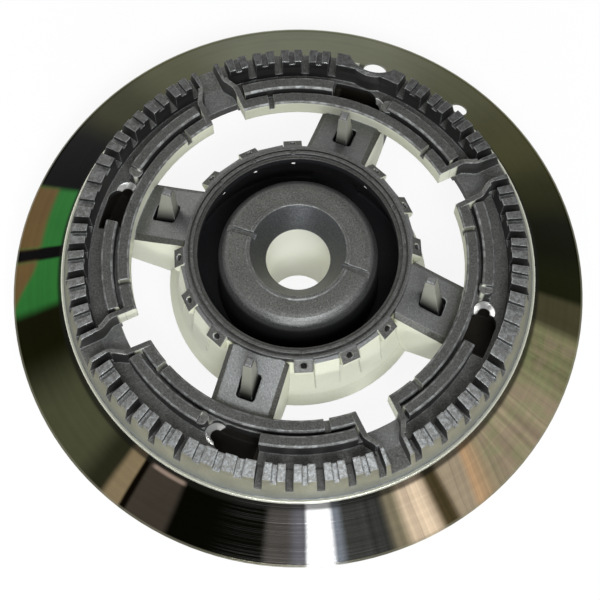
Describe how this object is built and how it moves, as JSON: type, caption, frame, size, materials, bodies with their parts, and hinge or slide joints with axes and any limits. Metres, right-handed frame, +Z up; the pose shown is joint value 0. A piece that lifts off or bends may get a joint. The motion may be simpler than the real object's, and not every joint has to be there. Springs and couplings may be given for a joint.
{
  "type": "gas burner head",
  "caption": "Round cast gas burner head without its caps: toothed flame ring, hollow spokes, central cup, mixer tube, in a conical trim ring.",
  "frame": {"origin": "centre of the bounding box's underside, which is the lower end of the mixer tube on its axis", "axes": "+Z up along the mixer tube's axis; one spoke stands at 70 degrees from +X and the spark plug's hole lies beyond it, so -Y faces the viewer of the picture"},
  "size_m": [0.16, 0.16, 0.056],
  "materials": {
    "cast_alloy": "as die cast and shot blasted, dark warm grey, fine grain",
    "turned_steel": "polished, with fine turning lines round the axis"
  },
  "bodies": {
    "root": {"burner_crown": "cast_alloy", "trim_ring": "turned_steel"}
  },
  "joints": []
}
